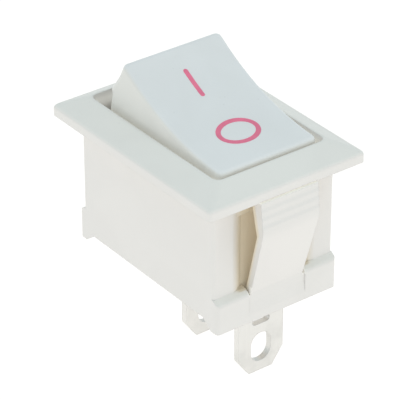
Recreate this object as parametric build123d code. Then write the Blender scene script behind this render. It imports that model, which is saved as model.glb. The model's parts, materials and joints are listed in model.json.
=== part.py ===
from build123d import *
from math import cos, radians, sin, sqrt, tan
import os

# Sub-miniature snap-in rocker switch, single pole on-off, with two solder lugs.
# Millimetres. The origin is the centre of the panel cut-out, on the bezel's seating plane.
# +Z points out of the panel, +X towards the rocker's O end, which is pressed (off).

# ---- bezel
bezel_end_lip = 1.25         # beyond the body, each end
bezel_side_lip = 1.20        # beyond the body, each side
bezel_edge = 0.60            # upright height of the rim's outer edge
bezel_crown = 1.31           # height of the rim beside the opening
bezel_corner = 0.26
bezel_round = 0.24
rim_land = 0.12              # level strip round the opening

# ---- body
body_length = 12.5
body_width = 8.5
body_corner = 0.2
side_wall = 0.68
top_end_wall = 0.315         # end wall beside the rocker, above the step
opening_corner = 0.45        # the opening's corners, seen from above
funnel_depth = 0.90          # the opening widens over this depth
funnel_side = 0.25           # widening at each long side
funnel_end = 0.04            # widening at each end
step_depth = 1.10            # the end walls thicken below this depth
pocket_depth = 0.40          # recess in the end wall, behind each snap arm
pocket_web = 0.22            # wall left behind that recess
pocket_margin = 0.05         # recess beyond the arm at full depth, each side
pocket_round = 1.60          # bulge of the recess's side walls
pocket_lip = 0.02            # how far that bulge would stand out of the end face
channel_depth = 0.10         # the recess goes on to the bezel at this depth
floor_top = 6.30
floor_thickness = 1.38

# ---- end blocks and their feet
block_proud = 0.41           # beyond the body's end face
block_corner = 0.2
ledge_depth = 6.11
ledge_fall = 0.27
ledge_round = 0.28
foot_drop = 0.57             # below the floor's underside
foot_land = 0.60
foot_ramp = 0.75

# ---- snap arms
arm_width = 4.0
root_width = 3.72
root_thickness = 0.46
arm_thickness = 0.52         # at the crest
arm_slit = 0.14              # gap beside the arm where it leaves the block
slit_drop = 0.39             # the gap goes on this far below the ledge
root_recess = 0.08           # how far the root lies behind the block's face
root_drop = 0.62             # the root's recess goes on this far below the ledge's foot
root_fade = 0.75             # and then fades out
arm_lean = 15.45             # degrees
crest_depth = 2.10
crest_land = 0.50
crest_round = 2.50
elbow_drop = 0.20            # inner bend below the crest
tooth_count = 3
tooth_pitch = 0.515
tooth_step = 0.06
tooth_slope = 0.20
tip_clearance = 0.45         # between the free end and the body's end face
relief_depth = 0.03          # recess under the bezel above each arm

# ---- rocker
rocker_tilt = 18.0           # each way from level
pivot_depth = 0.90
rocker_side_gap = 0.15
rocker_end_gap = 0.135       # pressed corner to the opening
corner_height = 4.10         # top corners above the pivot
top_dip = 0.72               # hollow of the key's top
end_hollow = 0.10            # hollow of the key's end faces
end_bend = 3.00              # radius of that hollow
end_flare = 14.0             # degrees, outwards going down
flare_height = 2.40
skirt_tuck = 0.16
skirt_knee = 0.42
skirt_bottom = 0.40          # below the pivot
skirt_draft = 0.20
key_corner = 0.38            # the key's corners, seen from above
key_round = 0.30
rocker_skin = 0.90
rocker_end_wall = 0.65
cheek = 0.60
lobe_radius = 1.30
trunnion_radius = 0.70
trunnion_length = 0.52
trunnion_clearance = 0.05
dimple_clearance = 0.08      # beyond the trunnion's end
tube_radius = 1.45
tube_drop = 1.90
bore_radius = 0.86
bore_top = 2.30
tube_rib = 0.50

# ---- plunger and its spring
plunger_clearance = 0.06
plunger_reach = 3.60         # nose below the pivot
shoulder_drop = 0.30
spigot_radius = 0.35
spigot_height = 0.55
wire_diameter = 0.20
coil_clearance = 0.11
spring_turns = 7
spring_end_gap = 0.02

# ---- see-saw and contacts
lever_swing = 9.0            # each way from level
lever_thickness = 0.30
lever_width = 2.60
lever_overhang = 0.65        # beyond the contact
lever_corner = 0.52
rest_arm = 3.40
neck_half_width = 0.92
neck_length = 0.70
contact_radius = 0.70
contact_height = 0.25
contact_dome = 0.06
rivet_radius = 0.35
rivet_head_radius = 0.50
rivet_head_height = 0.12
rivet_fit = 0.01
contact_touch = 0.03         # left between the buttons when the see-saw is on

# ---- terminals
lug_thickness = 0.40
lug_width = 3.23
lug_tip = 13.08              # depth of the free end
lug_chamfer_width = 0.78
lug_chamfer_height = 1.10
solder_hole_width = 1.45
solder_hole_length = 1.94
solder_hole_edge = 0.65      # metal left below the hole
lance_width = 1.25
lance_height = 0.42
lance_depth = 9.65
slot_clearance = 0.04
load_lug_inset = 0.41        # outer face to the cavity's end wall
contact_inset = 1.52         # fixed contact's centre from the load lug
foot_margin = 0.95           # load terminal's foot beyond the contact
foot_width = 2.60
bend_radius = 0.25
shoulder_width = 4.20
shoulder_height = 0.45
fork_width = 3.00
horn_inner = 1.00
horn_rise = 0.55
knife_land = 0.10
knife_gap = 0.02

# ---- moulded stops inside the cavity
post_length = 1.30
post_width = 1.30
stop_gap = 0.045
rest_rib_length = 0.60
rest_gap = 0.03

# ---- shared
edge_match = 0.001           # tolerance when an edge is picked by its place
largest_round = 0.45         # of the thickness that a rounding is cut into
through = 4                  # a cutter's length, in thicknesses of what it goes through

# ---- worked out
bezel_length = body_length + 2 * bezel_end_lip
bezel_width = body_width + 2 * bezel_side_lip
half_body = body_length / 2
opening_half_x = half_body - top_end_wall
opening_half_y = body_width / 2 - side_wall
cavity_half_x = half_body - pocket_depth - pocket_web
block_x = half_body + block_proud
ledge_end = ledge_depth + ledge_fall
slit_depth = ledge_depth + slit_drop
root_level = ledge_end + root_drop
arm_half = arm_width / 2
root_half = root_width / 2
slit_half = root_half + arm_slit
root_x = block_x - root_recess
crest_x = root_x + (ledge_end - crest_depth) * tan(radians(arm_lean))
floor_bottom = floor_top + floor_thickness
foot_bottom = floor_bottom + foot_drop
rocker_half_y = opening_half_y - rocker_side_gap
tilt = radians(rocker_tilt)
corner_x = (opening_half_x - rocker_end_gap - corner_height * sin(tilt)) / cos(tilt)
flare_x = corner_x + flare_height * tan(radians(end_flare))
flare_z = corner_height - flare_height
skirt_x = flare_x - skirt_tuck - skirt_draft
waist_x = (corner_x + flare_x) / 2 - end_hollow * cos(radians(end_flare))
waist_z = (corner_height + flare_z) / 2 - end_hollow * sin(radians(end_flare))
plunger_radius = bore_radius - plunger_clearance
spring_radius = bore_radius - coil_clearance - wire_diameter / 2
load_x = cavity_half_x - load_lug_inset - lug_thickness / 2
contact_x = load_x - contact_inset
swing = radians(lever_swing)
fixed_contact_top = -floor_top + lug_thickness + contact_height
fulcrum_z = fixed_contact_top + contact_touch + contact_height + contact_x * sin(swing)
rocker_frame = Pos(0, 0, -pivot_depth) * Rot(0, rocker_tilt, 0)
lever_frame = Pos(0, 0, fulcrum_z) * Rot(0, -lever_swing, 0)


def side_profile(points, width):
    """Extrude an X-Z outline across Y, centred."""
    face = Plane.XZ * make_face(Polyline(*points, close=True))
    return extrude(face, width / 2, both=True)


def block(x0, x1, y0, y1, z0, z1):
    """Plain box between two corners."""
    return Pos((x0 + x1) / 2, (y0 + y1) / 2, (z0 + z1) / 2) * Box(x1 - x0, y1 - y0, z1 - z0)


def rounded_prism(length, width, corner, z0, z1):
    """Upright prism on a rectangle with rounded corners, between two levels."""
    return Pos(0, 0, z0) * extrude(RectangleRounded(length, width, corner), z1 - z0)


def both_ends(solid):
    """The solid and its mirror image at the other end."""
    return [solid, mirror(solid, Plane.YZ)]


def edges_at(solid, x, z):
    """Edges along Y through one point of the side view."""
    return [
        edge
        for edge in solid.edges().filter_by(Axis.Y)
        if abs(edge.center().X - x) < edge_match and abs(edge.center().Z - z) < edge_match
    ]


def bezel():
    """Frame with an upright edge, a rounded break and a crown that slopes up to the opening."""
    outline = RectangleRounded(bezel_length, bezel_width, bezel_corner)
    land_x = 2 * (opening_half_x + funnel_end + rim_land)
    land_y = 2 * (opening_half_y + funnel_side + rim_land)
    crest = RectangleRounded(land_x, land_y, opening_corner + rim_land)
    plate = extrude(outline, bezel_edge)
    crown = loft([Pos(0, 0, bezel_edge) * outline, Pos(0, 0, bezel_crown) * crest])
    solid = plate + crown
    rim = solid.edges().filter_by_position(Axis.Z, bezel_edge, bezel_edge)
    return fillet(rim, min(bezel_round, bezel_edge * largest_round))


def body():
    """Body and end blocks: one long-side outline, with the corners rounded in plan."""
    half = [
        (half_body, 0),
        (half_body, -ledge_depth),
        (block_x, -ledge_end),
        (block_x, -foot_bottom),
        (block_x - foot_land, -foot_bottom),
        (block_x - foot_land - foot_ramp, -floor_bottom),
    ]
    outline = half + [(-x, z) for x, z in reversed(half)]
    solid = side_profile(outline, body_width)
    ledges = edges_at(solid, block_x, -ledge_end) + edges_at(solid, -block_x, -ledge_end)
    solid = fillet(ledges, ledge_round)
    upper = rounded_prism(body_length, body_width, body_corner, -ledge_depth, 0)
    lower = rounded_prism(2 * block_x, body_width, block_corner, -foot_bottom, -ledge_depth)
    return solid & (upper + lower)


def arm_outline():
    """Side view of the +X arm: root, leaning shank, crest, shallow teeth and free end."""
    points = [(root_x, -root_level), (root_x, -ledge_end), (crest_x, -crest_depth)]
    x = crest_x
    z = crest_land - crest_depth
    points += [(x, z)]
    for _ in range(tooth_count):
        x -= tooth_step
        points += [(x, z + tooth_slope), (x, z + tooth_pitch)]
        z += tooth_pitch
    points += [
        (half_body + tip_clearance, z),
        (crest_x - arm_thickness, -crest_depth - elbow_drop),
        (root_x - root_thickness, -ledge_end),
        (root_x - root_thickness, -root_level),
    ]
    return points


def snap_arm():
    """The +X arm, with a softly rounded crest, narrower at its root."""
    arm = side_profile(arm_outline(), 2 * arm_width)
    arm = fillet(edges_at(arm, crest_x, -crest_depth), crest_round)
    plan = [
        (root_half, -foot_bottom),
        (root_half, -ledge_end),
        (arm_half, -crest_depth),
        (arm_half, 0),
        (-arm_half, 0),
        (-arm_half, -crest_depth),
        (-root_half, -ledge_end),
        (-root_half, -foot_bottom),
    ]
    face = Plane.YZ * make_face(Polyline(*plan, close=True))
    return arm & extrude(face, 2 * block_x)


def cavity():
    """Room for the rocker and the contacts: widened mouth, and a step in below the rocker's ends."""
    length = 2 * opening_half_x
    width = 2 * opening_half_y
    narrow = RectangleRounded(length, width, opening_corner)
    wide = RectangleRounded(length + 2 * funnel_end, width + 2 * funnel_side, opening_corner)
    funnel = loft([Pos(0, 0, bezel_crown - funnel_depth) * narrow, Pos(0, 0, bezel_crown) * wide])
    mouth = rounded_prism(length, width, opening_corner, -step_depth, bezel_crown)
    well = rounded_prism(2 * cavity_half_x, width, opening_corner, -floor_top, -step_depth)
    return mouth + funnel + well


def pocket():
    """Room behind the +X arm, with bulging side walls, and the slit and shallow recess at its root."""
    inner = half_body - pocket_depth
    bulge_x = half_body + pocket_lip - pocket_round
    mouth = arm_half + pocket_margin + sqrt(pocket_round**2 - (inner - bulge_x) ** 2)
    top = -step_depth - pocket_web
    recess = block(inner, half_body, -mouth, mouth, -ledge_depth, top)
    channel = block(half_body - channel_depth, half_body, -mouth, mouth, -ledge_depth, 0)
    bulge = Pos(bulge_x, 0, -ledge_depth / 2) * Cylinder(pocket_round, ledge_depth)
    open_room = recess + channel - [Pos(0, -mouth, 0) * bulge, Pos(0, mouth, 0) * bulge]
    slit = block(inner, 2 * block_x, -slit_half, slit_half, -slit_depth, -ledge_depth)
    fading = [
        (root_x, -ledge_depth),
        (root_x, -root_level),
        (block_x, -root_level - root_fade),
        (2 * block_x, -root_level - root_fade),
        (2 * block_x, -ledge_depth),
    ]
    return open_room + slit + side_profile(fading, 2 * slit_half)


def stop_height():
    """Level that the pressed end's lower corner reaches, less a small gap."""
    corner = -pivot_depth - skirt_x * sin(tilt) - skirt_bottom * cos(tilt)
    return corner - stop_gap


def stop_posts():
    """Four corner posts that the rocker's skirt lands on."""
    x0 = cavity_half_x - post_length
    x1 = half_body - pocket_depth
    y0 = opening_half_y - post_width
    y1 = body_width / 2
    post = block(x0, x1, y0, y1, -floor_top, stop_height())
    return both_ends(post) + both_ends(mirror(post, Plane.XZ))


def rest_rib():
    """Rib under the see-saw's free arm, as high as the arm's lower face at rest."""
    end_x = -rest_arm * cos(swing)
    x0 = end_x - rest_rib_length / 2
    x1 = end_x + rest_rib_length / 2
    height = fulcrum_z - rest_arm * sin(swing) - rest_gap
    return block(x0, x1, -lever_width / 2, lever_width / 2, -floor_top, height)


def terminal_slot(x):
    """Slot through the floor for a lug."""
    half_x = lug_thickness / 2 + slot_clearance
    half_y = lug_width / 2 + slot_clearance
    return block(x - half_x, x + half_x, -half_y, half_y, -foot_bottom, -floor_top + lug_thickness)


def pivot_dimple():
    """Blind bearing across both long walls for the rocker's trunnions."""
    reach = rocker_half_y + trunnion_length + dimple_clearance
    dimple = Cylinder(trunnion_radius + trunnion_clearance, 2 * reach, rotation=(90, 0, 0))
    return Pos(0, 0, -pivot_depth) * dimple


def housing():
    """One moulding: bezel, body, end blocks, snap arms, stops and bearings."""
    solid = bezel() + body() - cavity()
    solid = solid - both_ends(pocket())
    relief = block(half_body, bezel_length, -slit_half, slit_half, 0, relief_depth)
    solid = solid - both_ends(relief)
    solid = solid + both_ends(snap_arm())
    solid = solid + stop_posts() + rest_rib()
    solid = solid - pivot_dimple()
    return solid - [terminal_slot(0), terminal_slot(load_x)]


def key_outline():
    """Side view of the rocker about its pivot: hollow top and ends, flared down to a tucked-in skirt."""
    top = ThreePointArc(
        (-corner_x, corner_height), (0, corner_height - top_dip), (corner_x, corner_height)
    )
    half = [
        (corner_x, corner_height),
        (waist_x, waist_z),
        (flare_x, flare_z),
        (flare_x - skirt_tuck, flare_z - skirt_knee),
        (skirt_x, -skirt_bottom),
    ]
    outline = half + [(-x, z) for x, z in reversed(half)]
    return make_face([top, Polyline(*outline)])


def key_hollow():
    """Room inside the rocker, open below."""
    radius = (corner_x**2 + top_dip**2) / (2 * top_dip)
    inner_x = corner_x - rocker_end_wall
    arc_centre = corner_height - top_dip + radius
    inner_radius = radius + rocker_skin
    inner_corner = arc_centre - sqrt(inner_radius**2 - inner_x**2)
    top = ThreePointArc(
        (-inner_x, inner_corner), (0, arc_centre - inner_radius), (inner_x, inner_corner)
    )
    half = [
        (inner_x, inner_corner),
        (flare_x - rocker_end_wall, flare_z),
        (skirt_x - rocker_end_wall, -skirt_bottom),
        (skirt_x - rocker_end_wall, -lobe_radius),
    ]
    outline = half + [(-x, z) for x, z in reversed(half)]
    return make_face([top, Polyline(*outline)])


def rocker():
    """One moulding, built level about its pivot and then tilted: key, cheeks, trunnions, spring tube."""
    key = extrude(Plane.XZ * key_outline(), rocker_half_y, both=True)
    key = fillet(edges_at(key, waist_x, waist_z) + edges_at(key, -waist_x, waist_z), end_bend)
    side_edges = [edge for edge in key.edges() if abs(edge.center().Y) > rocker_half_y - edge_match]
    key = fillet([edge for edge in side_edges if edge.length < corner_x], key_corner)
    rim_low = corner_height - top_dip - key_round
    rim = [edge for edge in key.edges() if edge.center().Z > rim_low]
    key = fillet(rim, min(key_round, rocker_end_wall * largest_round))
    key = key - extrude(Plane.XZ * key_hollow(), rocker_half_y - cheek, both=True)
    lobe = Cylinder(lobe_radius, 2 * rocker_half_y, rotation=(90, 0, 0))
    inside = Box(2 * flare_x, 2 * (rocker_half_y - cheek), 2 * corner_height)
    key = key + (lobe - inside)
    tube_top = corner_height - top_dip - rocker_skin / 2
    tube = Pos(0, 0, (tube_top - tube_drop) / 2) * Cylinder(tube_radius, tube_top + tube_drop)
    rib = block(-tube_rib / 2, tube_rib / 2, cheek - rocker_half_y, rocker_half_y - cheek, 0, tube_top)
    bore = Pos(0, 0, (bore_top - tube_drop) / 2) * Cylinder(bore_radius, bore_top + tube_drop)
    pins = Cylinder(trunnion_radius, 2 * (rocker_half_y + trunnion_length), rotation=(90, 0, 0))
    return rocker_frame * (key + (tube + rib - bore) + (pins - inside))


def plunger():
    """Round-nosed pin with a spigot that centres the spring."""
    nose_z = plunger_radius - plunger_reach
    spigot_top = spigot_height - shoulder_drop
    stem = [
        (0, spigot_top),
        (spigot_radius, spigot_top),
        (spigot_radius, -shoulder_drop),
        (plunger_radius, -shoulder_drop),
        (plunger_radius, nose_z),
    ]
    quarter = plunger_radius * sin(radians(45))
    nose = ThreePointArc((plunger_radius, nose_z), (quarter, nose_z - quarter), (0, -plunger_reach))
    axis_line = Line((0, -plunger_reach), (0, spigot_top))
    half_section = make_face([Polyline(*stem), nose, axis_line])
    return rocker_frame * revolve(Plane.XZ * half_section, Axis.Z)


def plunger_spring():
    """Coil between the plunger's shoulder and the top of the bore."""
    room = bore_top + shoulder_drop - 2 * spring_end_gap - wire_diameter
    start = -shoulder_drop + spring_end_gap + wire_diameter / 2
    path = Helix(room / spring_turns, room, spring_radius)
    section = Plane(path @ 0, z_dir=path % 0) * Circle(wire_diameter / 2)
    return rocker_frame * Pos(0, 0, start) * sweep(section, path=path, is_frenet=True)


def moving_contact():
    """See-saw strip with a waisted middle that rocks between the common terminal's horns."""
    x0 = -rest_arm
    x1 = contact_x + lever_overhang
    strip = block(x0, x1, -lever_width / 2, lever_width / 2, 0, lever_thickness)
    for side in (-1, 1):
        notch = Box(neck_length, lever_width, through * lever_thickness)
        strip = strip - Pos(0, side * (neck_half_width + lever_width / 2), 0) * notch
    ends = strip.edges().filter_by(Axis.Z).group_by(Axis.X)
    strip = fillet(ends[0] + ends[-1], lever_corner)
    hole = Pos(contact_x, 0, 0) * Cylinder(rivet_radius + rivet_fit, through * lever_thickness)
    return lever_frame * (strip - hole)


def domed_button(up):
    """Contact button on its back face at z = 0, standing up or hanging down."""
    body_height = contact_height - contact_dome
    rise = contact_dome
    sphere = (contact_radius**2 + rise**2) / (2 * rise)
    disc = Pos(0, 0, body_height / 2) * Cylinder(contact_radius, body_height)
    ball = Pos(0, 0, contact_height - sphere) * Sphere(sphere)
    cap_zone = Pos(0, 0, body_height + rise / 2) * Cylinder(contact_radius, rise)
    button = disc + (ball & cap_zone)
    return button if up else mirror(button, Plane.XY)


def moving_contact_rivet():
    """Button under the see-saw, shank through it and a flat head above."""
    shank_height = lever_thickness + rivet_head_height
    shank = Pos(0, 0, shank_height / 2) * Cylinder(rivet_radius, shank_height)
    head_z = lever_thickness + rivet_head_height / 2
    head = Pos(0, 0, head_z) * Cylinder(rivet_head_radius, rivet_head_height)
    return lever_frame * Pos(contact_x, 0, 0) * (domed_button(False) + shank + head)


def fixed_contact_rivet():
    """Button on the load terminal's foot, shank flush below."""
    shank = Pos(0, 0, -lug_thickness / 2) * Cylinder(rivet_radius, lug_thickness)
    seat_z = -floor_top + lug_thickness
    return Pos(contact_x, 0, seat_z) * (domed_button(True) + shank)


def lug(top_z):
    """Solder lug up to a level: dog-eared end, oblong hole and a lance hole under the floor."""
    half = lug_width / 2
    ear = half - lug_chamfer_width
    outline = [
        (-half, top_z),
        (half, top_z),
        (half, -lug_tip + lug_chamfer_height),
        (ear, -lug_tip),
        (-ear, -lug_tip),
        (-half, -lug_tip + lug_chamfer_height),
    ]
    hole_z = -lug_tip + solder_hole_edge + solder_hole_length / 2
    hole = SlotOverall(solder_hole_length, solder_hole_width, rotation=90)
    lance = SlotOverall(lance_width, lance_height)
    plate = make_face(Polyline(*outline, close=True))
    plate = plate - Pos(0, hole_z) * hole - Pos(0, -lance_depth) * lance
    return extrude(Plane.YZ * plate, lug_thickness / 2, both=True)


def common_terminal():
    """Middle terminal: lug, shoulders on the floor, fork and knife edge for the see-saw."""
    half_t = lug_thickness / 2
    knife_z = fulcrum_z - knife_gap
    horn_top = fulcrum_z + lever_thickness + horn_rise
    shoulder_top = -floor_top + shoulder_height
    shoulder = block(-half_t, half_t, -shoulder_width / 2, shoulder_width / 2, -floor_top, shoulder_top)
    fork = block(-half_t, half_t, -fork_width / 2, fork_width / 2, -floor_top, horn_top)
    mouth = block(-half_t, half_t, -horn_inner, horn_inner, knife_z, horn_top)
    solid = lug(-floor_top) + shoulder + fork - mouth
    bevel = half_t - knife_land / 2
    edges = [
        edge
        for edge in solid.edges().filter_by(Axis.Y)
        if abs(edge.center().Z - knife_z) < knife_gap / 2
    ]
    return chamfer(edges, bevel)


def load_terminal():
    """End terminal: lug bent over onto the floor, with a foot that carries the fixed contact."""
    seat = -floor_top + lug_thickness
    outer = load_x + lug_thickness / 2
    foot_end = contact_x - foot_margin
    foot = block(foot_end, outer, -foot_width / 2, foot_width / 2, -floor_top, seat)
    bend = [
        edge
        for edge in foot.edges().filter_by(Axis.Y)
        if edge.center().X > load_x and edge.center().Z > seat - lug_thickness / 2
    ]
    foot = fillet(bend, bend_radius)
    hole = Pos(contact_x, 0, seat) * Cylinder(rivet_radius + rivet_fit, through * lug_thickness)
    return Pos(load_x, 0, 0) * lug(-floor_top) + foot - hole


PIECES = {
    "housing": housing,
    "rocker": rocker,
    "plunger": plunger,
    "plunger_spring": plunger_spring,
    "moving_contact": moving_contact,
    "moving_contact_rivet": moving_contact_rivet,
    "fixed_contact_rivet": fixed_contact_rivet,
    "common_terminal": common_terminal,
    "load_terminal": load_terminal,
}

os.makedirs("parts", exist_ok=True)
for name, make in PIECES.items():
    piece = make()
    solids = piece.solids()
    export_step(solids[0] if len(solids) == 1 else Compound(solids), f"parts/{name}.step")
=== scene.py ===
import json
from functools import reduce
from math import cos, radians, sin, tan, tau
from typing import NamedTuple

import bpy
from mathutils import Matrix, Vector


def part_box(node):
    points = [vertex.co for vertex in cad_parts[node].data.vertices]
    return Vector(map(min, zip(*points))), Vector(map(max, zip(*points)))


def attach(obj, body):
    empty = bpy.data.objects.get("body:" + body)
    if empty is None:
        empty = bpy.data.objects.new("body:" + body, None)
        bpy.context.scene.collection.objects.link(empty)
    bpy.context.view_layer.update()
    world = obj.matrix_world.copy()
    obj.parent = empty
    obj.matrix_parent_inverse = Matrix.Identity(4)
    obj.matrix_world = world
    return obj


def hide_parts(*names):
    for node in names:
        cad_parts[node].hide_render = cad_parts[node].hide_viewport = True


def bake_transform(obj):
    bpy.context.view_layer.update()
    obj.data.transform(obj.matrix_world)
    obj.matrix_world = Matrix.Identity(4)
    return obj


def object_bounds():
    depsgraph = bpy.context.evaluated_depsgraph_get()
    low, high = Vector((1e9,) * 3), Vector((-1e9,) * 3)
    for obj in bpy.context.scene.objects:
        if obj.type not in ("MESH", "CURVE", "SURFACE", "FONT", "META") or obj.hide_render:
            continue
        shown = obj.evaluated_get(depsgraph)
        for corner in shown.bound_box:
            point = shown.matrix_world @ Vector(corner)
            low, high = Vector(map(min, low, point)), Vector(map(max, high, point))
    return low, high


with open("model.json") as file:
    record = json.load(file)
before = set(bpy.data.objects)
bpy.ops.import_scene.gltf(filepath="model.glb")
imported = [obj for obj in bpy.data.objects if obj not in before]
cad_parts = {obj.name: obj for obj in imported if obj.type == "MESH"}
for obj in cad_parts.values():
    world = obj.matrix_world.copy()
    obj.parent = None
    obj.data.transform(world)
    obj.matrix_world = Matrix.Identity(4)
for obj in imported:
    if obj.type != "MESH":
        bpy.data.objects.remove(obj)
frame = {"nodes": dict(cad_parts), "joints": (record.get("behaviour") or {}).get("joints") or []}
CAD_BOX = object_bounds()

bl_info = {
    "name": "Snap-in Rocker Switch",
    "version": (1, 0, 0),
    "blender": (4, 5, 0),
    "location": "3D View > Sidebar > Rocker Switch",
    "description": "Printed marks, spring, finishes and stage for a small snap-in rocker switch",
    "category": "Add Mesh",
}

MM = 0.001
LENGTH = {"subtype": "DISTANCE", "unit": "LENGTH"}
ANGLE = {"subtype": "ANGLE", "unit": "ROTATION"}
COLOUR = {"subtype": "COLOR", "min": 0, "max": 1}
SENSOR_WIDTH = 36.0  # of the camera's sensor, in millimetres

# ---- the rocker's own frame: its pivot, and its tilt at rest, half of the joint's travel
TILT_JOINT = next(joint for joint in frame["joints"] if joint["name"] == "rocker_tilt")
PIVOT = Vector(TILT_JOINT["pos_m"])
REST_TILT = radians(TILT_JOINT["range_deg"][1]) / 2
KEY_ALONG = Vector((cos(REST_TILT), 0, -sin(REST_TILT)))
KEY_UP = Vector((sin(REST_TILT), 0, cos(REST_TILT)))


def on_key(along, up):
    """Point on the rocker's middle plane, measured in its own tilted frame."""
    return PIVOT + along * KEY_ALONG + up * KEY_UP


def reach_on_key(node):
    """Lowest and highest point of a CAD node along the rocker's upright axis."""
    heights = [(v.co - PIVOT).dot(KEY_UP) for v in frame["nodes"][node].data.vertices]
    return min(heights), max(heights)


# ---- settings

class MarkSettings(bpy.types.PropertyGroup):
    """Size, place and colour of the printed marks"""

    bar_from: bpy.props.FloatProperty(
        name="Bar Outer End", description="Outer end of the on bar, from the pivot",
        default=-3.20 * MM, precision=5, **LENGTH)
    bar_to: bpy.props.FloatProperty(
        name="Bar Inner End", description="Inner end of the on bar, from the pivot",
        default=-1.14 * MM, precision=5, **LENGTH)
    bar_turn: bpy.props.FloatProperty(
        name="Bar Turn", description="Turn of the on bar where it was stamped askew",
        default=radians(-1.2), **ANGLE)
    bar_offset: bpy.props.FloatProperty(
        name="Bar Offset", description="Outer end of the on bar, across from the middle",
        default=-0.11 * MM, precision=5, **LENGTH)
    ring_centre: bpy.props.FloatProperty(
        name="Ring Centre", description="Centre of the off ring, from the pivot",
        default=2.04 * MM, precision=5, **LENGTH)
    ring_offset: bpy.props.FloatProperty(
        name="Ring Offset", description="Centre of the off ring, across from the middle",
        default=-0.06 * MM, precision=5, **LENGTH)
    ring_length: bpy.props.FloatProperty(
        name="Ring Length", description="Outside of the off ring along the rocker",
        default=2.10 * MM, precision=5, **LENGTH)
    ring_width: bpy.props.FloatProperty(
        name="Ring Width", description="Outside of the off ring across the rocker",
        default=2.77 * MM, precision=5, **LENGTH)
    line: bpy.props.FloatProperty(
        name="Line", description="Width of the printed lines",
        default=0.29 * MM, precision=5, **LENGTH)
    film: bpy.props.FloatProperty(
        name="Film", description="Thickness of the paint above the surface",
        default=0.012 * MM, precision=6, **LENGTH)
    sink: bpy.props.FloatProperty(
        name="Sink", description="Depth of the paint below the surface",
        default=0.008 * MM, precision=6, **LENGTH)
    paint: bpy.props.FloatVectorProperty(
        name="Paint", description="Colour of the printed marks",
        default=(0.95, 0.205, 0.34), **COLOUR)


class SpringSettings(bpy.types.PropertyGroup):
    """Size of the spring's wire and coils"""

    wire: bpy.props.FloatProperty(
        name="Wire", description="Diameter of the spring's wire",
        default=0.20 * MM, precision=5, **LENGTH)
    coil_radius: bpy.props.FloatProperty(
        name="Coil Radius", description="Radius to the middle of the wire",
        default=0.65 * MM, precision=5, **LENGTH)
    turns: bpy.props.IntProperty(
        name="Turns", description="Number of turns", default=7, min=2)


class PlasticSettings(bpy.types.PropertyGroup):
    """Colours and finish of the mouldings"""

    housing: bpy.props.FloatVectorProperty(
        name="Housing", description="Colour of the housing's nylon",
        default=(0.845, 0.812, 0.778), **COLOUR)
    # painted light: the housing's upward faces get a lighter, cooler colour than its upright
    # faces, as if lit from above
    housing_top_painted_light: bpy.props.FloatVectorProperty(
        name="Housing Top", description="Cooler colour of the housing's upward faces",
        default=(0.88, 0.865, 0.82), **COLOUR)
    housing_roughness: bpy.props.FloatProperty(
        name="Housing Roughness", description="Middle of the housing's roughness",
        default=0.48, min=0, max=1)
    # painted light and shade: the rocker's upward faces take the lighter colour, its upright faces
    # the darker, warmer one
    rocker: bpy.props.FloatVectorProperty(
        name="Rocker", description="Colour of the rocker's upward faces",
        default=(0.85, 0.86, 0.86), **COLOUR)
    rocker_side_painted_shade: bpy.props.FloatVectorProperty(
        name="Rocker Side", description="Warmer colour of the rocker's upright faces",
        default=(0.80, 0.79, 0.75), **COLOUR)
    rocker_roughness: bpy.props.FloatProperty(
        name="Rocker Roughness", description="Middle of the rocker's roughness",
        default=0.34, min=0, max=1)
    plunger: bpy.props.FloatVectorProperty(
        name="Plunger", description="Colour of the plunger's acetal",
        default=(0.78, 0.77, 0.72), **COLOUR)
    plunger_roughness: bpy.props.FloatProperty(
        name="Plunger Roughness", description="Middle of the plunger's roughness",
        default=0.40, min=0, max=1)
    # painted shade: the recess colour is a warm darkening of the recess behind each snap arm
    recess: bpy.props.FloatVectorProperty(
        name="Recess", description="Warm colour of the thin walls behind the snap arms",
        default=(0.79, 0.69, 0.525), **COLOUR)
    # painted glow: emission colour that lifts the shade in the slits and recesses of both
    # mouldings
    lit: bpy.props.FloatVectorProperty(
        name="Lit", description="Light that thin walls pass on",
        default=(0.45, 0.45, 0.41), **COLOUR)
    arm_lean: bpy.props.FloatProperty(
        name="Arm Lean", description="Lean of the snap arms' outer faces",
        default=radians(15.45), **ANGLE)
    arm_crest: bpy.props.FloatProperty(
        name="Arm Crest", description="Height of the snap arms' crests",
        default=-2.10 * MM, precision=5, **LENGTH)
    edge_radius: bpy.props.FloatProperty(
        name="Edge Radius", description="Broken edge of a moulding",
        default=0.07 * MM, precision=5, **LENGTH)
    grain: bpy.props.FloatProperty(
        name="Grain", description="Size of the spark-eroded grain",
        default=0.06 * MM, precision=5, **LENGTH)


class MetalSettings(bpy.types.PropertyGroup):
    """Colours of the metals"""

    tin: bpy.props.FloatVectorProperty(
        name="Tin", description="Colour of the plated terminals",
        default=(0.82, 0.81, 0.78), **COLOUR)
    copper: bpy.props.FloatVectorProperty(
        name="Copper Alloy", description="Colour of the see-saw strip",
        default=(0.74, 0.46, 0.26), **COLOUR)
    silver: bpy.props.FloatVectorProperty(
        name="Silver", description="Colour of the contact buttons",
        default=(0.82, 0.81, 0.77), **COLOUR)
    wire: bpy.props.FloatVectorProperty(
        name="Wire", description="Colour of the spring's wire",
        default=(0.52, 0.52, 0.50), **COLOUR)


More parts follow.
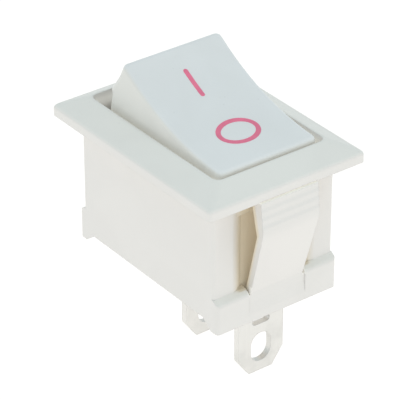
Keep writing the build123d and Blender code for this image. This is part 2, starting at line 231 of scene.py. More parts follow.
class StageSettings(bpy.types.PropertyGroup):
    """Camera, table and lights"""

    azimuth: bpy.props.FloatProperty(
        name="Azimuth", description="Camera's turn round the switch",
        default=radians(52.99), **ANGLE)
    elevation: bpy.props.FloatProperty(
        name="Elevation", description="Camera's height above level",
        default=radians(31.21), **ANGLE)
    distance: bpy.props.FloatProperty(
        name="Distance", description="Camera to the aim point",
        default=143.0 * MM, precision=4, **LENGTH)
    lens: bpy.props.FloatProperty(
        name="Lens", description=f"Focal length in millimetres on a {SENSOR_WIDTH:g} mm sensor",
        default=223.8)
    aim: bpy.props.FloatVectorProperty(
        name="Aim", description="Point that the camera looks at",
        default=(-0.176 * MM, -0.277 * MM, -4.13 * MM), subtype="XYZ", unit="LENGTH")
    shift: bpy.props.FloatProperty(
        name="Shift", description="Sideways shift of the lens", default=-0.0011, precision=5)
    floor_size: bpy.props.FloatProperty(
        name="Floor", description="Side of the square table top", default=3.0, **LENGTH)
    floor_glow: bpy.props.FloatProperty(
        name="Table Glow", description="Strength of the light table", default=0.94)
    sky: bpy.props.FloatVectorProperty(
        name="Sky", description="Colour of the light from all round",
        default=(0.74, 0.81, 0.83), **COLOUR)
    sky_strength: bpy.props.FloatProperty(
        name="Sky Strength", description="Strength of the light from all round", default=0.97)
    left_power: bpy.props.FloatProperty(
        name="Left Power", description="Power of the left softbox in watts", default=0.020)
    right_power: bpy.props.FloatProperty(
        name="Right Power", description="Power of the right softbox in watts", default=0.060)


# ---- nodes

# a Mix node keeps sockets for each kind of data: these are its factor and its two colours
MIX_COLOUR_INPUTS = (0, 6, 7)
MIX_COLOUR_OUTPUT = 2

SIDE_DUST = 0.3  # share of the dust that upright faces keep


def add_node(tree, kind, values=None, **settings):
    """New node with its settings, then its inputs: sockets are linked, other values are set."""
    node = tree.nodes.new(kind)
    for key, value in settings.items():
        setattr(node, key, value)
    for key, value in (values or {}).items():
        if isinstance(value, bpy.types.NodeSocket):
            tree.links.new(value, node.inputs[key])
        else:
            node.inputs[key].default_value = value
    return node


def calculate(tree, operation, *values, clamp=False):
    """Output of one Math node."""
    node = add_node(
        tree, "ShaderNodeMath", dict(enumerate(values)), operation=operation, use_clamp=clamp)
    return node.outputs[0]


def product(tree, *values, clamp=False):
    """All the values multiplied together."""
    return reduce(lambda one, other: calculate(tree, "MULTIPLY", one, other, clamp=clamp), values)


def strongest(tree, *masks):
    """Largest of several masks."""
    return reduce(lambda one, other: calculate(tree, "MAXIMUM", one, other), masks)


def mix_colours(tree, factor, first, second):
    """Output of one Mix node between two colours."""
    node = add_node(
        tree, "ShaderNodeMix", dict(zip(MIX_COLOUR_INPUTS, (factor, first, second))),
        data_type="RGBA")
    return node.outputs[MIX_COLOUR_OUTPUT]


def ramp(tree, value, low, high):
    """Value brought from low..high to 0..1, with soft ends."""
    node = add_node(
        tree, "ShaderNodeMapRange",
        {"Value": value, "From Min": low, "From Max": high},
        interpolation_type="SMOOTHSTEP")
    return node.outputs["Result"]


def past(tree, value, start, softness):
    """Mask that begins where the value passes start and is full after the softness."""
    return ramp(tree, calculate(tree, "SUBTRACT", value, start), 0.0, softness)


def separate(tree, vector):
    """X, Y and Z of a vector."""
    return add_node(tree, "ShaderNodeSeparateXYZ", {0: vector}).outputs


def surface_normal(tree):
    """Normal of the surface as it was modelled."""
    return add_node(tree, "ShaderNodeNewGeometry").outputs["Normal"]


def noise(tree, place, size, detail, distortion=0.0):
    """Noise whose marks are about as large as size."""
    scale = calculate(tree, "DIVIDE", 1.0, size)
    node = add_node(tree, "ShaderNodeTexNoise", {
        "Vector": place, "Scale": scale, "Detail": detail, "Distortion": distortion})
    return node.outputs["Fac"]


def opaque(colour):
    """Colour setting with its alpha."""
    return (*colour, 1.0)


def new_group(name, inputs, outputs):
    """Empty shader node group with named value or vector sockets."""
    kinds = {"value": "NodeSocketFloat", "vector": "NodeSocketVector"}
    tree = bpy.data.node_groups.new(name, "ShaderNodeTree")
    for label, kind, default in inputs:
        socket = tree.interface.new_socket(label, in_out="INPUT", socket_type=kinds[kind])
        if default is not None:
            socket.default_value = default
    for label, kind in outputs:
        tree.interface.new_socket(label, in_out="OUTPUT", socket_type=kinds[kind])
    given = tree.nodes.new("NodeGroupInput").outputs
    return tree, given, tree.nodes.new("NodeGroupOutput").inputs


def use_group(tree, name, values):
    """One of the shared groups, placed in a material with its own values."""
    group = bpy.data.node_groups[name]
    return add_node(tree, "ShaderNodeGroup", values, node_tree=group).outputs


def make_moulded_grain():
    """Fine spark-eroded grain and broad flow marks of a moulding."""
    tree, given, out = new_group(
        "Moulded Grain",
        [("Vector", "vector", None), ("Grain Size", "value", 0.06 * MM),
         ("Flow Size", "value", 4.0 * MM)],
        [("Height", "value"), ("Flow", "value"), ("Gloss", "value")])
    fine = noise(tree, given["Vector"], given["Grain Size"], detail=3.0)
    broad = noise(tree, given["Vector"], given["Flow Size"], detail=2.0, distortion=0.6)
    tree.links.new(fine, out["Height"])
    tree.links.new(ramp(tree, broad, low=0.3, high=0.7), out["Flow"])
    tree.links.new(ramp(tree, product(tree, fine, broad), low=0.1, high=0.45), out["Gloss"])


def make_edge_mask():
    """Mask that rises where a surface turns over an edge."""
    tree, given, out = new_group(
        "Edge Mask",
        [("Rounded Normal", "vector", None), ("Gain", "value", 3.0)],
        [("Mask", "value")])
    turn = add_node(
        tree, "ShaderNodeVectorMath", {0: surface_normal(tree), 1: given["Rounded Normal"]},
        operation="DOT_PRODUCT")
    away = calculate(tree, "SUBTRACT", 1.0, turn.outputs["Value"])
    tree.links.new(product(tree, away, given["Gain"], clamp=True), out["Mask"])


# mask along which the mouldings get painted light on upward faces and painted shade on upright
# ones
def make_upward_faces():
    """Mask for faces that look up, soft where they turn to the side."""
    tree, _, out = new_group("Upward Faces", [], [("Mask", "value")])
    height = separate(tree, surface_normal(tree))["Z"]
    tree.links.new(ramp(tree, height, low=0.3, high=0.8), out["Mask"])


def make_dust():
    """Small specks and lint, thicker on faces that look up."""
    tree, given, out = new_group(
        "Dust",
        [("Vector", "vector", None), ("Speck Size", "value", 0.4 * MM), ("Amount", "value", 0.2)],
        [("Mask", "value")])
    scale = calculate(tree, "DIVIDE", 1.0, given["Speck Size"])
    cells = add_node(tree, "ShaderNodeTexVoronoi", {"Vector": given["Vector"], "Scale": scale})
    rim = ramp(tree, cells.outputs["Distance"], low=0.02, high=0.16)
    speck = calculate(tree, "SUBTRACT", 1.0, rim)
    patch = noise(tree, given["Vector"], given["Speck Size"], detail=4.0)
    chosen = product(tree, speck, ramp(tree, patch, low=0.52, high=0.62))
    upward = ramp(tree, separate(tree, surface_normal(tree))["Z"], low=-0.2, high=0.9)
    facing = calculate(tree, "MULTIPLY_ADD", upward, 1.0 - SIDE_DUST, SIDE_DUST)
    settled = product(tree, chosen, facing)
    tree.links.new(product(tree, settled, given["Amount"], clamp=True), out["Mask"])


# this recess mask feeds both the painted warm shade and the painted glow behind the snap arms
def make_recess():
    """Mask for the room behind a leaning arm at both ends, softer away from the arm's face."""
    tree, given, out = new_group(
        "Recess",
        [("Vector", "vector", None),
         ("Crest End", "value", 7.7 * MM),
         ("Crest Height", "value", -2.1 * MM),
         ("Lean", "value", 0.27),
         ("Head Taper", "value", 0.24),
         ("Near Depth", "value", 0.2 * MM),
         ("Far Depth", "value", 0.5 * MM),
         ("Half Width", "value", 3.0 * MM),
         ("Side Softness", "value", 0.9 * MM),
         ("Top", "value", 0.0),
         ("Bottom", "value", -6.5 * MM),
         ("Softness", "value", 0.2 * MM)],
        [("Mask", "value")])
    place = separate(tree, given["Vector"])
    below = calculate(tree, "SUBTRACT", given["Crest Height"], place["Z"])
    shank = product(tree, calculate(tree, "MAXIMUM", below, 0.0), given["Lean"])
    head = product(tree, calculate(tree, "MINIMUM", below, 0.0), given["Head Taper"])
    face = calculate(tree, "ADD", calculate(tree, "SUBTRACT", given["Crest End"], shank), head)
    behind = calculate(tree, "SUBTRACT", face, calculate(tree, "ABSOLUTE", place["X"]))
    deep = ramp(tree, behind, given["Near Depth"], given["Far Depth"])
    aside = calculate(tree, "ABSOLUTE", place["Y"])
    across = past(tree, given["Half Width"], aside, given["Side Softness"])
    under = past(tree, given["Top"], place["Z"], given["Softness"])
    above = past(tree, place["Z"], given["Bottom"], given["Softness"])
    tree.links.new(product(tree, deep, across, under, above), out["Mask"])


def make_zone():
    """Mask for a box at both ends and both sides of the switch, soft inwards from its faces."""
    tree, given, out = new_group(
        "Zone",
        [("Vector", "vector", None),
         ("Low", "vector", (-1.0, -1.0, -1.0)),
         ("High", "vector", (1.0, 1.0, 1.0)),
         ("Softness", "vector", (0.01 * MM, 0.01 * MM, 0.01 * MM))],
        [("Mask", "value")])
    place, low, high, soft = (
        separate(tree, given[name]) for name in ("Vector", "Low", "High", "Softness"))
    bounds = []
    for axis in "XYZ":
        spot = place[axis] if axis == "Z" else calculate(tree, "ABSOLUTE", place[axis])
        bounds.append(past(tree, spot, low[axis], soft[axis]))
        bounds.append(past(tree, high[axis], spot, soft[axis]))
    tree.links.new(product(tree, *bounds), out["Mask"])


def make_drawn_metal():
    """Streaks left by rolling or drawing, stretched along one axis, with soft tarnish patches."""
    tree, given, out = new_group(
        "Drawn Metal",
        [("Vector", "vector", None), ("Streak Scale", "vector", (9000.0, 9000.0, 500.0)),
         ("Tarnish Size", "value", 1.5 * MM)],
        [("Streak", "value"), ("Tarnish", "value")])
    stretched = add_node(
        tree, "ShaderNodeVectorMath", {0: given["Vector"], 1: given["Streak Scale"]},
        operation="MULTIPLY").outputs["Vector"]
    tree.links.new(noise(tree, stretched, 1.0, detail=2.0), out["Streak"])
    patch = noise(tree, given["Vector"], given["Tarnish Size"], detail=5.0)
    tree.links.new(ramp(tree, patch, low=0.45, high=0.75), out["Tarnish"])


def make_groups():
    """All shared effects, built once."""
    for make in (make_moulded_grain, make_edge_mask, make_upward_faces, make_dust,
                 make_recess, make_zone, make_drawn_metal):
        make()


# ---- materials

BLACK = (0.0, 0.0, 0.0, 1.0)

# a moulding's finish: a share is how far a mask is mixed in, a tone is how much light is left
FLOW_SHARE = 0.10
FLOW_TONE = 0.75
EDGE_SHARE = 0.25
# painted highlight: edges are lightened towards this colour, as if light caught them
PAINTED_EDGE_HIGHLIGHT = (0.93, 0.93, 0.92)
DUST_AMOUNT = 0.25
DUST_TONE = 0.6
GLOSS_SPREAD = 0.10
GRAIN_DEPTH = 0.15  # of the grain's size
NYLON_IOR = 1.53

# how strongly the painted glow shows at each place, and the tone of the painted shade at the arms'
# roots
FOOT_GLOW = 0.17
ENDS_GLOW = 0.3
SLIT_GLOW = 0.33
BEHIND_ARM_GLOW = 0.1
ROOT_SHADE_TONE = 0.85


class Box(NamedTuple):
    """Box in millimetres, the same at both ends and both sides, with the softness of its faces."""

    low: tuple
    high: tuple
    softness: tuple


FAR = 20.0  # beyond every face of the switch, in millimetres
CRISP = 0.01  # softness of a face that starts at once, in millimetres

# boxes where a glow is painted to lift the shade
KEY_FOOT = Box((-FAR, -FAR, -FAR), (FAR, FAR, 1.9), (CRISP, CRISP, 1.6))
KEY_ENDS = Box((4.9, -FAR, -3.0), (7.0, FAR, 1.2), (0.3, CRISP, 0.3))
OPENING_RIM = Box((-FAR, -FAR, 0.2), (6.0, 3.85, 1.3), (CRISP, CRISP, 0.5))
HEAD_SLOT = Box((6.2, -FAR, -0.08), (7.9, 2.1, 0.04), (CRISP, CRISP, CRISP))
ROOT_SLIT = Box((6.45, 1.84, -6.6), (6.8, 2.04, -5.9), (0.05, CRISP, 0.1))
# painted shade: the box below marks the darker spot where each snap arm leaves its ledge
ARM_ROOT_SHADE = Box((5.8, 1.8, -6.3), (6.42, 2.65, -5.95), (0.12, 0.3, 0.05))

# a metal's finish: streaks, tarnish, and edges a little darker
STREAK_TONE = 0.92
STREAK_ROUGHNESS = 0.15
TARNISH_TONE = 0.55
DARK_EDGE_SHARE = 0.6
DARK_EDGE_TONE = 0.75
METAL_EDGE_RADIUS = 0.07 * MM

# the marks' foil
FOIL_TONE = 0.88
FOIL_ROUGHNESS = 0.35
FOIL_GLOSS_SPREAD = 0.15

SHALLOW = 0.004 * MM  # relief of drawn metal and of foil

# streaks per metre along x, y and z
ALONG_LUG = (9000.0, 9000.0, 400.0)
ALONG_STRIP = (400.0, 9000.0, 9000.0)
ALL_ROUND = (5000.0, 5000.0, 5000.0)


class Metal(NamedTuple):
    """One metal: its material, its colour's setting, its finish, and the CAD nodes made of it."""

    name: str
    colour: str
    roughness: float
    streaks: tuple
    tarnish: float
    nodes: tuple


METALS = (
    Metal("tin_plate", "tin", 0.30, ALONG_LUG, 0.15, ("common_terminal", "load_terminal")),
    Metal("copper_alloy", "copper", 0.28, ALONG_STRIP, 0.3, ("moving_contact",)),
    Metal("contact_silver", "silver", 0.38, ALL_ROUND, 0.35,
          ("moving_contact_rivet", "fixed_contact_rivet")),
    Metal("spring_wire", "wire", 0.25, ALL_ROUND, 0.2, ()),
)


def start_material(name):
    """New material: its tree, its shader, and the piece's own coordinates."""
    material = bpy.data.materials.new(name)
    material.use_nodes = True
    tree = material.node_tree
    shader = tree.nodes["Principled BSDF"]
    place = add_node(tree, "ShaderNodeTexCoord").outputs["Object"]
    return material, tree, shader, place


def round_edges(tree, radius):
    """Normal of the surface with its sharp edges broken."""
    return add_node(tree, "ShaderNodeBevel", {"Radius": radius}, samples=6).outputs["Normal"]


def link_bump(tree, shader, height, normal, strength, distance):
    """Fine relief on top of a normal."""
    bump = add_node(tree, "ShaderNodeBump", {
        "Height": height, "Normal": normal, "Strength": strength, "Distance": distance})
    tree.links.new(bump.outputs["Normal"], shader.inputs["Normal"])


def darker(colour, share):
    """Same colour, with this share of its light."""
    return tuple(channel * share for channel in colour)


def moulded_plastic(name, top, side, roughness, finish, lit, warm=None):
    """Moulded plastic: flow marks, grain, dust, a painted highlight on its edges, painted light on
    its tops and shade on its sides, painted shade in its recesses where asked, and a painted glow
    that lifts its shade.
    """
    material, tree, shader, place = start_material(name)
    grain = use_group(tree, "Moulded Grain", {"Vector": place, "Grain Size": finish.grain})
    rounded = round_edges(tree, finish.edge_radius)
    edge = use_group(tree, "Edge Mask", {"Rounded Normal": rounded, "Gain": 2.5})["Mask"]
    dust = use_group(tree, "Dust", {"Vector": place, "Amount": DUST_AMOUNT})["Mask"]
    upward = use_group(tree, "Upward Faces", {})["Mask"]
    flow = product(tree, calculate(tree, "SUBTRACT", 1.0, grain["Flow"]), FLOW_SHARE)
    # painted light and shade: upward faces take the top colour, upright faces the darker side
    # colour
    body = mix_colours(tree, upward, opaque(side), opaque(top))
    body = mix_colours(tree, flow, body, opaque(darker(side, FLOW_TONE)))
    # painted warm shade in the recesses behind the snap arms, for the housing
    if warm:
        body = warm(tree, place, finish, body)
    # painted highlight along the edges
    body = mix_colours(tree, product(tree, edge, EDGE_SHARE), body, opaque(PAINTED_EDGE_HIGHLIGHT))
    body = mix_colours(tree, dust, body, opaque(darker(side, DUST_TONE)))
    tree.links.new(body, shader.inputs["Base Color"])
    gloss = calculate(
        tree, "MULTIPLY_ADD", grain["Gloss"], GLOSS_SPREAD, roughness - GLOSS_SPREAD / 2)
    tree.links.new(calculate(tree, "ADD", gloss, dust, clamp=True), shader.inputs["Roughness"])
    link_bump(
        tree, shader, grain["Height"], rounded, strength=0.25, distance=finish.grain * GRAIN_DEPTH)
    shader.inputs["IOR"].default_value = NYLON_IOR
    # painted glow: emission that lifts the shade wherever the given mask says
    glow = mix_colours(tree, lit(tree, place, finish), BLACK, opaque(finish.lit))
    tree.links.new(glow, shader.inputs["Emission Color"])
    shader.inputs["Emission Strength"].default_value = 1.0
    return material


def zone(tree, place, box):
    """Mask for one box."""
    low, high, softness = (Vector(corner) * MM for corner in box)
    return use_group(tree, "Zone", {
        "Vector": place, "Low": low, "High": high, "Softness": softness})["Mask"]


def arm_recess_mask(tree, place, finish):
    """Mask for the recess behind each snap arm, where warm shade and a faint glow are painted."""
    return use_group(tree, "Recess", {
        "Vector": place, "Crest End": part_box("housing")[1].x, "Crest Height": finish.arm_crest,
        "Lean": tan(finish.arm_lean)})["Mask"]


def key_painted_glow(tree, place, finish):
    """Where a glow is painted on the rocker's lower walls, most at its ends, to lift their shade.
    """
    foot = product(tree, zone(tree, place, KEY_FOOT), FOOT_GLOW)
    ends = product(tree, zone(tree, place, KEY_ENDS), ENDS_GLOW)
    return strongest(tree, foot, ends)


def housing_painted_glow(tree, place, finish):
    """Where a glow is painted to lift the shade: at the opening, and round the snap arms' roots,
    heads and backs.
    """
    boxes = (zone(tree, place, box) for box in (OPENING_RIM, ROOT_SLIT, HEAD_SLOT))
    slits = product(tree, strongest(tree, *boxes), SLIT_GLOW)
    arms = product(tree, arm_recess_mask(tree, place, finish), BEHIND_ARM_GLOW)
    return strongest(tree, slits, arms)


def paint_recess_shade(tree, place, finish, body):
    """Painted warm shade in the recess behind each snap arm, with darker painted shade where the
    arms leave the ledges.
    """
    body = mix_colours(tree, arm_recess_mask(tree, place, finish), body, opaque(finish.recess))
    root = zone(tree, place, ARM_ROOT_SHADE)
    return mix_colours(tree, root, body, opaque(darker(finish.recess, ROOT_SHADE_TONE)))


def plated_metal(metal, colour):
    """Strip or wire metal: drawn streaks, tarnish, and edges a little darker."""
    material, tree, shader, place = start_material(metal.name)
    drawn = use_group(tree, "Drawn Metal", {"Vector": place, "Streak Scale": metal.streaks})
    rounded = round_edges(tree, METAL_EDGE_RADIUS)
    edge = use_group(tree, "Edge Mask", {"Rounded Normal": rounded, "Gain": 2.0})["Mask"]
    tarnish = product(tree, drawn["Tarnish"], metal.tarnish)
    cut = product(tree, edge, DARK_EDGE_SHARE)
    body = mix_colours(
        tree, drawn["Streak"], opaque(darker(colour, STREAK_TONE)), opaque(colour))
    body = mix_colours(tree, tarnish, body, opaque(darker(colour, TARNISH_TONE)))
    body = mix_colours(tree, cut, body, opaque(darker(colour, DARK_EDGE_TONE)))
    tree.links.new(body, shader.inputs["Base Color"])
    shader.inputs["Metallic"].default_value = 1.0
    rough = calculate(tree, "MULTIPLY_ADD", drawn["Streak"], STREAK_ROUGHNESS, metal.roughness)
    tree.links.new(calculate(tree, "ADD", rough, tarnish, clamp=True), shader.inputs["Roughness"])
    link_bump(tree, shader, drawn["Streak"], rounded, strength=0.3, distance=SHALLOW)
    return material


def mark_paint(colour):
    """Hot-stamped red foil: nearly even colour with faint patches, and a fine grain."""
    material, tree, shader, place = start_material("mark_paint")
    grain = use_group(tree, "Moulded Grain", {
        "Vector": place, "Grain Size": 0.05 * MM, "Flow Size": 0.7 * MM})
    body = mix_colours(tree, grain["Flow"], opaque(darker(colour, FOIL_TONE)), opaque(colour))
    tree.links.new(body, shader.inputs["Base Color"])
    rough = calculate(
        tree, "MULTIPLY_ADD", grain["Gloss"], FOIL_GLOSS_SPREAD, FOIL_ROUGHNESS)
    tree.links.new(rough, shader.inputs["Roughness"])
    link_bump(
        tree, shader, grain["Height"], surface_normal(tree), strength=0.2, distance=SHALLOW)
    return material


def dress(node, material):
    """Gives a CAD node or a new piece its material."""
    if node.material_slots:
        for slot in node.material_slots:
            slot.material = material
    else:
        node.data.materials.append(material)


# ---- modelling

RING_CORNERS = 96
BAR_CORNERS = 24  # of the disc that the bar is drawn out from
BAR_PARTS = 12  # lengths that the bar is cut into, so it follows the rocker's hollow
WIRE_SIDES = 14
TURN_STEPS = 48
SMOOTH_ANGLE = radians(40)


def deselect_all():
    """Leaves nothing selected, so the next operators act on the new piece alone."""
    bpy.ops.object.select_all(action="DESELECT")


def apply_modifier(piece, kind, **settings):
    """Adds a modifier, sets it and applies it."""
    bpy.context.view_layer.objects.active = piece
    bpy.ops.object.modifier_add(type=kind)
    modifier = piece.modifiers[-1]
    for key, value in settings.items():
        setattr(modifier, key, value)
    bpy.ops.object.modifier_apply(modifier=modifier.name)


def select_vertices(piece, wanted):
    """Enters edit mode with only the vertices selected whose place in the mesh is wanted."""
    bpy.ops.object.mode_set(mode="EDIT")
    bpy.ops.mesh.select_mode(type="VERT")
    bpy.ops.mesh.select_all(action="DESELECT")
    bpy.ops.object.mode_set(mode="OBJECT")
    for vertex in piece.data.vertices:
        vertex.select = wanted(vertex.co)
    bpy.ops.object.mode_set(mode="EDIT")


def settle(piece):
    """Puts the piece's place into its mesh."""
    deselect_all()
    piece.select_set(True)
    bpy.context.view_layer.objects.active = piece
    bpy.ops.object.transform_apply(location=True, rotation=True, scale=True)


def lay_on_rocker(piece, marks):
    """Drops a flat outline onto the rocker's hollow top and gives the paint its thickness."""
    apply_modifier(
        piece, "SHRINKWRAP", target=frame["nodes"]["rocker"], wrap_method="PROJECT",
        use_project_z=True, use_positive_direction=False, use_negative_direction=True,
        offset=-marks.sink)
    apply_modifier(piece, "SOLIDIFY", thickness=marks.film + marks.sink, offset=1.0)
    settle(piece)
    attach(piece, "key")


def start_above_rocker(name, along, across, radius, corners, turn=0.0):
    """Filled disc above the rocker, in its tilted frame, turned about its own upright axis."""
    deselect_all()
    clear_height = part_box("rocker")[1].z - PIVOT.z
    bpy.ops.mesh.primitive_circle_add(
        vertices=corners, radius=radius, fill_type="NGON",
        location=on_key(along, clear_height) + Vector((0, across, 0)))
    piece = bpy.context.object
    piece.name = name
    piece.rotation_mode = "ZYX"
    piece.rotation_euler = (0, REST_TILT, turn)
    return piece


class SWITCH_OT_off_ring(bpy.types.Operator):
    """Print the off ring on the rocker's pressed end"""

    bl_idname = "rocker_switch.off_ring"
    bl_label = "Off Ring"

    def execute(self, context):
        marks = context.scene.switch_marks
        ring = start_above_rocker(
            "off_ring", marks.ring_centre, marks.ring_offset, marks.ring_width / 2, RING_CORNERS)
        ring.scale.x = marks.ring_length / marks.ring_width
        bpy.ops.object.transform_apply(location=False, rotation=False, scale=True)
        bpy.ops.object.mode_set(mode="EDIT")
        bpy.ops.mesh.inset(thickness=marks.line)
        bpy.ops.mesh.delete(type="FACE")
        bpy.ops.object.mode_set(mode="OBJECT")
        lay_on_rocker(ring, marks)
        dress(ring, bpy.data.materials["mark_paint"])
        return {"FINISHED"}


class SWITCH_OT_on_bar(bpy.types.Operator):
    """Print the on bar on the rocker's raised end"""

    bl_idname = "rocker_switch.on_bar"
    bl_label = "On Bar"

    def execute(self, context):
        marks = context.scene.switch_marks
        radius = marks.line / 2
        bar = start_above_rocker(
            "on_bar", marks.bar_from + radius, marks.bar_offset, radius, BAR_CORNERS,
            turn=marks.bar_turn)
        bpy.context.view_layer.update()
        length = marks.bar_to - marks.bar_from - marks.line
        lengthwise = bar.matrix_world.to_3x3() @ Vector((1, 0, 0))
        select_vertices(bar, lambda place: place.x > 0)
        bpy.ops.transform.translate(value=length * lengthwise)
        for cut in range(BAR_PARTS + 1):
            bpy.ops.mesh.select_all(action="SELECT")
            spot = bar.matrix_world @ Vector((length * cut / BAR_PARTS, 0, 0))
            bpy.ops.mesh.bisect(plane_co=spot, plane_no=lengthwise, threshold=1e-7)
        bpy.ops.object.mode_set(mode="OBJECT")
        lay_on_rocker(bar, marks)
        dress(bar, bpy.data.materials["mark_paint"])
        return {"FINISHED"}


class SWITCH_OT_plunger_spring(bpy.types.Operator):
    """Wind the spring between the rocker's bore and the plunger's shoulder"""

    bl_idname = "rocker_switch.plunger_spring"
    bl_label = "Plunger Spring"

    def execute(self, context):
        spring = context.scene.switch_spring
        low, high = reach_on_key("plunger_spring")
        deselect_all()
        bpy.ops.mesh.primitive_circle_add(
            vertices=WIRE_SIDES, radius=spring.wire / 2, fill_type="NOTHING",
            location=on_key(0, low + spring.wire / 2), rotation=(0, REST_TILT, 0))
        coil = bpy.context.object
        coil.name = "spring_coil"
        bpy.ops.object.mode_set(mode="EDIT")
        bpy.ops.transform.rotate(
            value=radians(90), orient_axis="X", orient_type="LOCAL",
            center_override=coil.location)
        bpy.ops.transform.translate(value=spring.coil_radius * KEY_ALONG)
        bpy.ops.object.mode_set(mode="OBJECT")
        pitch = (high - low - spring.wire) / spring.turns
        apply_modifier(
            coil, "SCREW", axis="Z", angle=tau, screw_offset=pitch, iterations=spring.turns,
            steps=TURN_STEPS, render_steps=TURN_STEPS, use_smooth_shade=True)
        bpy.ops.object.mode_set(mode="EDIT")
        bpy.ops.mesh.select_all(action="SELECT")
        bpy.ops.mesh.fill_holes(sides=0)
        bpy.ops.mesh.normals_make_consistent(inside=False)
        bpy.ops.object.mode_set(mode="OBJECT")
        settle(coil)
        bpy.ops.object.shade_smooth_by_angle(angle=SMOOTH_ANGLE)
        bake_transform(coil)
        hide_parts("plunger_spring")
        dress(coil, bpy.data.materials["spring_wire"])
        return {"FINISHED"}


class SWITCH_OT_plastics(bpy.types.Operator):
    """Give the mouldings their nylon and acetal, and make the marks' paint"""

    bl_idname = "rocker_switch.plastics"
    bl_label = "Plastics"

    def execute(self, context):
        finish = context.scene.switch_plastics
        nodes = frame["nodes"]
        dress(nodes["housing"], moulded_plastic(
            "housing_nylon", finish.housing_top_painted_light, finish.housing, finish.housing_roughness,
            finish, housing_painted_glow, paint_recess_shade))
        dress(nodes["rocker"], moulded_plastic(
            "rocker_nylon", finish.rocker, finish.rocker_side_painted_shade, finish.rocker_roughness,
            finish, key_painted_glow))
        dress(nodes["plunger"], moulded_plastic(
            "plunger_acetal", finish.plunger, finish.plunger, finish.plunger_roughness,
            finish, key_painted_glow))
        mark_paint(context.scene.switch_marks.paint)
        return {"FINISHED"}


class SWITCH_OT_metals(bpy.types.Operator):
    """Give terminals, see-saw, contact buttons and spring wire their metals"""

    bl_idname = "rocker_switch.metals"
    bl_label = "Metals"

    def execute(self, context):
        colours = context.scene.switch_metals
        for metal in METALS:
            material = plated_metal(metal, getattr(colours, metal.colour))
            for name in metal.nodes:
                dress(frame["nodes"][name], material)
        return {"FINISHED"}


# ---- stage

OPAL_TONES = (0.17, 0.19)
OPAL_GLOW = (1.0, 0.99, 0.97, 1.0)
SOFTBOX_COLOUR = (1.0, 0.96, 0.90)
SOFTBOX_SIDE = 0.22
SOFTBOX_DISTANCE = 0.30
SOFTBOX_ELEVATION = radians(16)
LEFT_AZIMUTH = radians(-12)
RIGHT_AZIMUTH = radians(126)


def from_aim(aim, azimuth, elevation, distance):
    """Point at an angle round the switch."""
    level = distance * cos(elevation)
    return aim + Vector((level * sin(azimuth), -level * cos(azimuth), distance * sin(elevation)))


def add_softbox(name, azimuth, aim, power):
    """Large square area light that faces the switch."""
    place = from_aim(aim, azimuth, SOFTBOX_ELEVATION, SOFTBOX_DISTANCE)
    bpy.ops.object.light_add(type="AREA", location=place)
    lamp = bpy.context.object
    lamp.name = name
    lamp.rotation_euler = (aim - place).to_track_quat("-Z", "Y").to_euler()
    lamp.data.shape = "SQUARE"
    lamp.data.size = SOFTBOX_SIDE
    lamp.data.energy = power
    lamp.data.color = SOFTBOX_COLOUR


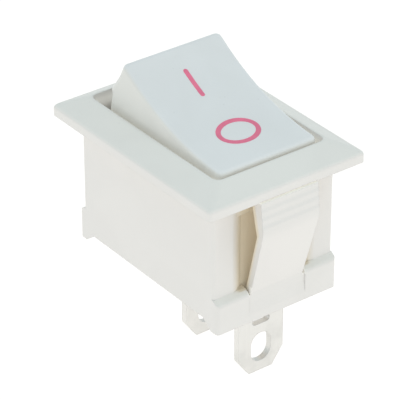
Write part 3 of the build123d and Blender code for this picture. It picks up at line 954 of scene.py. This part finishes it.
class SWITCH_OT_stage(bpy.types.Operator):
    """Set up the light table, softboxes and camera"""

    bl_idname = "rocker_switch.stage"
    bl_label = "Stage"

    def execute(self, context):
        stage = context.scene.switch_stage
        aim = Vector(stage.aim)
        deselect_all()
        bpy.ops.mesh.primitive_plane_add(size=stage.floor_size, location=(0, 0, CAD_BOX[0].z))
        table = bpy.context.object
        table.name = "light_table"
        settle(table)
        dress(table, self.table_top(stage))
        self.light(context.scene, stage, aim)
        place = from_aim(aim, stage.azimuth, stage.elevation, stage.distance)
        bpy.ops.object.camera_add(
            location=place, rotation=(aim - place).to_track_quat("-Z", "Y").to_euler())
        camera = bpy.context.object
        camera.data.lens = stage.lens
        camera.data.sensor_width = SENSOR_WIDTH
        camera.data.shift_x = stage.shift
        camera.data.clip_start = 0.01
        context.scene.camera = camera
        context.scene.view_settings.view_transform = "Standard"
        return {"FINISHED"}

    def table_top(self, stage):
        """Opal white sheet that glows evenly."""
        material, tree, shader, place = start_material("opal_sheet")
        haze = add_node(
            tree, "ShaderNodeTexNoise", {"Vector": place, "Scale": 30.0, "Detail": 3.0})
        low, high = (opaque((tone, tone, tone)) for tone in OPAL_TONES)
        tree.links.new(
            mix_colours(tree, haze.outputs["Fac"], low, high), shader.inputs["Base Color"])
        shader.inputs["Roughness"].default_value = 0.9
        shader.inputs["Specular IOR Level"].default_value = 0.0
        shader.inputs["Emission Color"].default_value = OPAL_GLOW
        shader.inputs["Emission Strength"].default_value = stage.floor_glow
        return material

    def light(self, scene, stage, aim):
        """Even cool light from all round, and a warm softbox on each side of the camera."""
        world = bpy.data.worlds.new("studio")
        world.use_nodes = True
        background = world.node_tree.nodes["Background"]
        background.inputs["Color"].default_value = opaque(stage.sky)
        background.inputs["Strength"].default_value = stage.sky_strength
        scene.world = world
        add_softbox("softbox_left", LEFT_AZIMUTH, aim, stage.left_power)
        add_softbox("softbox_right", RIGHT_AZIMUTH, aim, stage.right_power)


# ---- panel and registration

class SWITCH_PT_panel(bpy.types.Panel):
    """All settings of the switch, and a button for each step"""

    bl_label = "Rocker Switch"
    bl_idname = "SWITCH_PT_panel"
    bl_space_type = "VIEW_3D"
    bl_region_type = "UI"
    bl_category = "Rocker Switch"

    def draw(self, context):
        for settings in SETTINGS:
            box = self.layout.box()
            group = getattr(context.scene, settings)
            for name in group.bl_rna.properties.keys():
                if name not in ("rna_type", "name"):
                    box.prop(group, name)
        for operator in OPERATORS:
            self.layout.operator(operator.bl_idname)


SETTINGS = {
    "switch_marks": MarkSettings,
    "switch_spring": SpringSettings,
    "switch_plastics": PlasticSettings,
    "switch_metals": MetalSettings,
    "switch_stage": StageSettings,
}
OPERATORS = (
    SWITCH_OT_plastics,
    SWITCH_OT_metals,
    SWITCH_OT_off_ring,
    SWITCH_OT_on_bar,
    SWITCH_OT_plunger_spring,
    SWITCH_OT_stage,
)
CLASSES = (*SETTINGS.values(), *OPERATORS, SWITCH_PT_panel)


def register():
    """Adds the settings, operators and panel."""
    for kind in CLASSES:
        bpy.utils.register_class(kind)
    for name, kind in SETTINGS.items():
        setattr(bpy.types.Scene, name, bpy.props.PointerProperty(type=kind))


def unregister():
    """Takes them away again."""
    for name in SETTINGS:
        delattr(bpy.types.Scene, name)
    for kind in reversed(CLASSES):
        bpy.utils.unregister_class(kind)


def main():
    """Builds the whole scene in order."""
    register()
    make_groups()
    bpy.ops.rocker_switch.plastics()
    bpy.ops.rocker_switch.metals()
    bpy.ops.rocker_switch.off_ring()
    bpy.ops.rocker_switch.on_bar()
    bpy.ops.rocker_switch.plunger_spring()
    bpy.ops.rocker_switch.stage()


if __name__ == "__main__":
    main()
